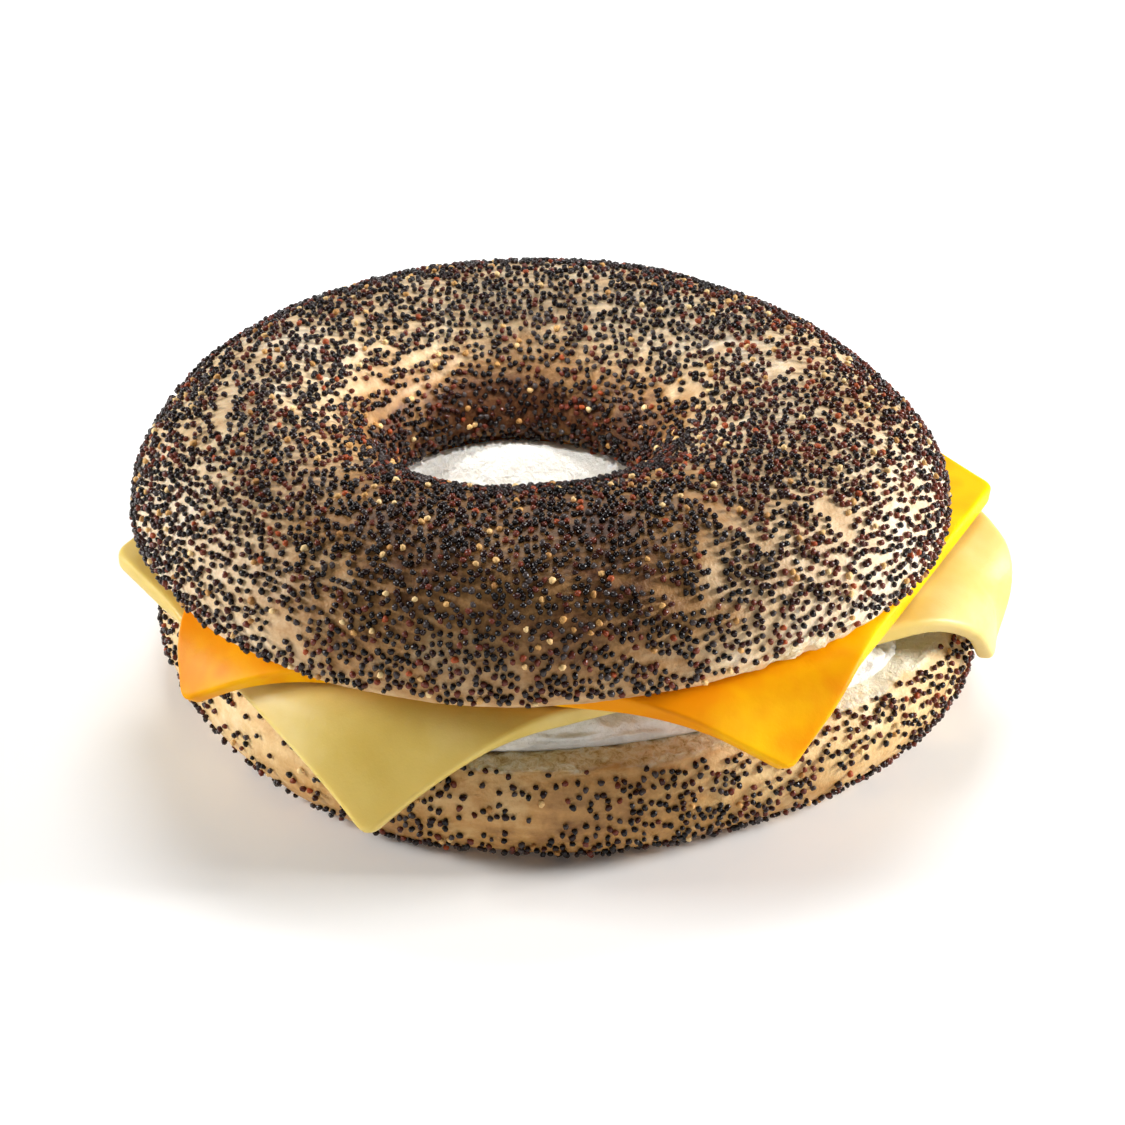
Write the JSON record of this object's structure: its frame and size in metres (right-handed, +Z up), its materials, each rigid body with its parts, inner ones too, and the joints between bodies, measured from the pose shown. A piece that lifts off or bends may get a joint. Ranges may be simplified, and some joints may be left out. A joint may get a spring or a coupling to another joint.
{
  "type": "filled bagel",
  "caption": "Poppy-seed bagel cut across and filled with cream cheese, a pale cheese slice and an orange cheese slice whose corners droop over the rim.",
  "frame": {"origin": "middle of the bagel's outline seen from above, on the surface it rests on", "axes": "+Z up through the hole, +X to the right of the picture, +Y away from the viewer"},
  "size_m": [0.1186, 0.1068, 0.0444],
  "materials": {
    "crown_crust": "matte",
    "heel_crust": "matte",
    "cream": "satin",
    "pale_cheese": "satin",
    "orange_cheese": "satin"
  },
  "bodies": {
    "root": {"bagel_top": "crown_crust", "bagel_bottom": "heel_crust", "cream_cheese": "cream", "pale_slice": "pale_cheese", "orange_slice": "orange_cheese"}
  },
  "joints": []
}
